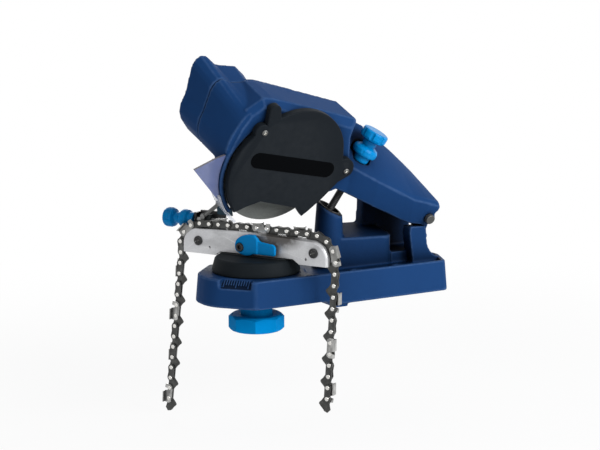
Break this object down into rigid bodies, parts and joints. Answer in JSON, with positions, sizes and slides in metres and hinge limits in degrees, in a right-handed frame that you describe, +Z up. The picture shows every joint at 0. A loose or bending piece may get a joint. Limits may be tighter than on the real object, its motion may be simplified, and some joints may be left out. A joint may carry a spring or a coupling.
{
  "type": "electric chainsaw sharpener",
  "caption": "Bench-mounted electric chainsaw sharpener: hinged motor head with a thin grinding disc and guard above a swivelling chain vise that holds a length of saw chain.",
  "frame": {"origin": "centre of the four bench holes, on the bench plane", "axes": "+Z up from the bench; +X from the turntable towards the head's hinge; the user stands on the -Y side"},
  "size_m": [0.2564, 0.1689, 0.3263],
  "materials": {
    "blue_shell": "semi-matt moulded ABS, fine texture",
    "sky_knob": "satin moulded plastic",
    "black_guard": "matt black moulding",
    "black_strip": "smooth dark strip, blank",
    "black_table": "matt black moulding",
    "cast_silver": "die-cast, satin painted silver",
    "clear_shield": "clear polycarbonate",
    "screw_steel": "zinc-plated steel",
    "black_steel": "blackened steel",
    "chain_steel": "oiled dark steel",
    "cutter_chrome": "hard chrome plated cutters",
    "rivet_steel": "polished rivet heads",
    "abrasive": "bonded grinding grit",
    "brass": "turned",
    "spring_steel": "bright wire",
    "motor_steel": "zinc plated sheet",
    "magnet": "ferrite",
    "copper": "enamelled copper wire",
    "laminate": "stacked steel sheet",
    "fan_grey": "moulded nylon",
    "carbon": "carbon brush",
    "grey_plastic": "matt grey moulding",
    "red_rocker": "satin moulded plastic"
  },
  "bodies": {
    "stand": {"base": "blue_shell", "swivel_scale": "blue_shell", "tower_collar": "black_steel", "hinge_pin": "screw_steel", "hinge_clip": "screw_steel", "return_spring": "spring_steel"},
    "head": {"front_housing": "blue_shell", "rear_housing": "blue_shell", "disc_guard": "black_guard", "guard_screws": "screw_steel", "guard_strip": "black_strip", "spark_shield": "clear_shield", "shield_screws": "screw_steel", "switch_frame": "black_guard", "hinge_bushes": "brass", "screw_insert": "brass", "motor_can": "motor_steel", "motor_magnets": "magnet", "motor_end_bell": "motor_steel", "motor_bearings": "screw_steel", "motor_brushes": "carbon"},
    "rotor": {"spindle": "screw_steel", "rotor_core": "laminate", "rotor_windings": "copper", "commutator": "copper", "cooling_fan": "fan_grey", "grinding_disc": "abrasive", "inner_flange": "screw_steel", "outer_flange": "screw_steel", "spindle_nut": "screw_steel"},
    "rocker": {"switch_rocker": "red_rocker"},
    "depth_stop": {"depth_screw": "screw_steel", "depth_knob": "sky_knob"},
    "spring_plunger": {"plunger": "black_steel"},
    "table": {"turntable": "black_table", "table_stud": "screw_steel", "vise_carrier": "grey_plastic", "front_jaw": "cast_silver", "vise_screws": "black_steel", "lever_bolt": "screw_steel", "chain_drive_links": "chain_steel", "chain_tie_straps": "chain_steel", "chain_cutters": "cutter_chrome", "chain_rivets": "rivet_steel"},
    "table_lock": {"lock_knob": "sky_knob", "lock_washer": "screw_steel"},
    "lever": {"clamp_lever": "sky_knob", "lever_screw": "screw_steel"},
    "moving_jaw": {"rear_jaw": "cast_silver", "stop_bracket": "black_steel"},
    "stop_drive": {"stop_knob": "sky_knob", "stop_screw": "screw_steel"},
    "stop_slide": {"stop_carriage": "grey_plastic", "pawl_pin": "screw_steel"},
    "pawl": {"stop_pawl": "screw_steel", "pawl_ball": "black_guard", "pawl_finger": "grey_plastic"}
  },
  "joints": [
    {"name": "head_pivot", "type": "hinge", "parent": "stand", "child": "head", "pos_m": [0.0565, -0.00337, 0.07494], "axis": [0, 0.9272, 0.3746], "range_deg": [-0.9, 6], "stiffness_Nm_per_rad": 20, "springref_deg": 5.16},
    {"name": "disc_spin", "type": "hinge", "parent": "head", "child": "rotor", "pos_m": [-0.0973, -0.02116, 0.11899], "axis": [0, 0.9272, 0.3746], "continuous": true},
    {"name": "switch_rock", "type": "hinge", "parent": "head", "child": "rocker", "pos_m": [-0.1385, 0.00982, 0.18112], "axis": [1, 0, 0], "range_deg": [0, 12]},
    {"name": "depth_turn", "type": "hinge", "parent": "head", "child": "depth_stop", "pos_m": [-0.0341, -0.00206, 0.0717], "axis": [0.3746, -0.3473, 0.8597], "continuous": true},
    {"name": "plunger_slide", "type": "slide", "parent": "stand", "child": "spring_plunger", "axis": [0, 0, 1], "range_m": [-0.0015, 0.0092], "deforming": ["return_spring"]},
    {"name": "table_swivel", "type": "hinge", "parent": "stand", "child": "table", "pos_m": [-0.104, 0, 0.04], "axis": [0, 0, 1], "range_deg": [-65, 5]},
    {"name": "lock_turn", "type": "hinge", "parent": "table", "child": "table_lock", "pos_m": [-0.104, 0, -0.01], "axis": [0, 0, 1], "continuous": true},
    {"name": "lever_turn", "type": "hinge", "parent": "table", "child": "lever", "pos_m": [-0.1085, 0.00779, 0.0486], "axis": [0.866, 0.5, 0], "range_deg": [-25, 0]},
    {"name": "jaw_slide", "type": "slide", "parent": "table", "child": "moving_jaw", "axis": [0.866, 0.5, 0], "range_m": [0, 0.001]},
    {"name": "stop_turn", "type": "hinge", "parent": "moving_jaw", "child": "stop_drive", "pos_m": [-0.13071, 0.06426, 0.0652], "axis": [0.5, -0.866, 0], "range_deg": [-1350, 1350]},
    {"name": "stop_travel", "type": "slide", "parent": "moving_jaw", "child": "stop_slide", "axis": [0.5, -0.866, 0], "range_m": [-0.003, 0.003]},
    {"name": "pawl_lift", "type": "hinge", "parent": "stop_slide", "child": "pawl", "pos_m": [-0.12842, 0.0523, 0.069], "axis": [0.866, 0.5, 0], "range_deg": [-50, 0]}
  ],
  "couplings": [
    {"joint": "plunger_slide", "follows": "head_pivot", "m_per_rad": 0.084},
    {"joint": "lever_turn", "follows": "jaw_slide", "rad_per_m": -436},
    {"joint": "stop_turn", "follows": "stop_travel", "rad_per_m": 7853}
  ]
}
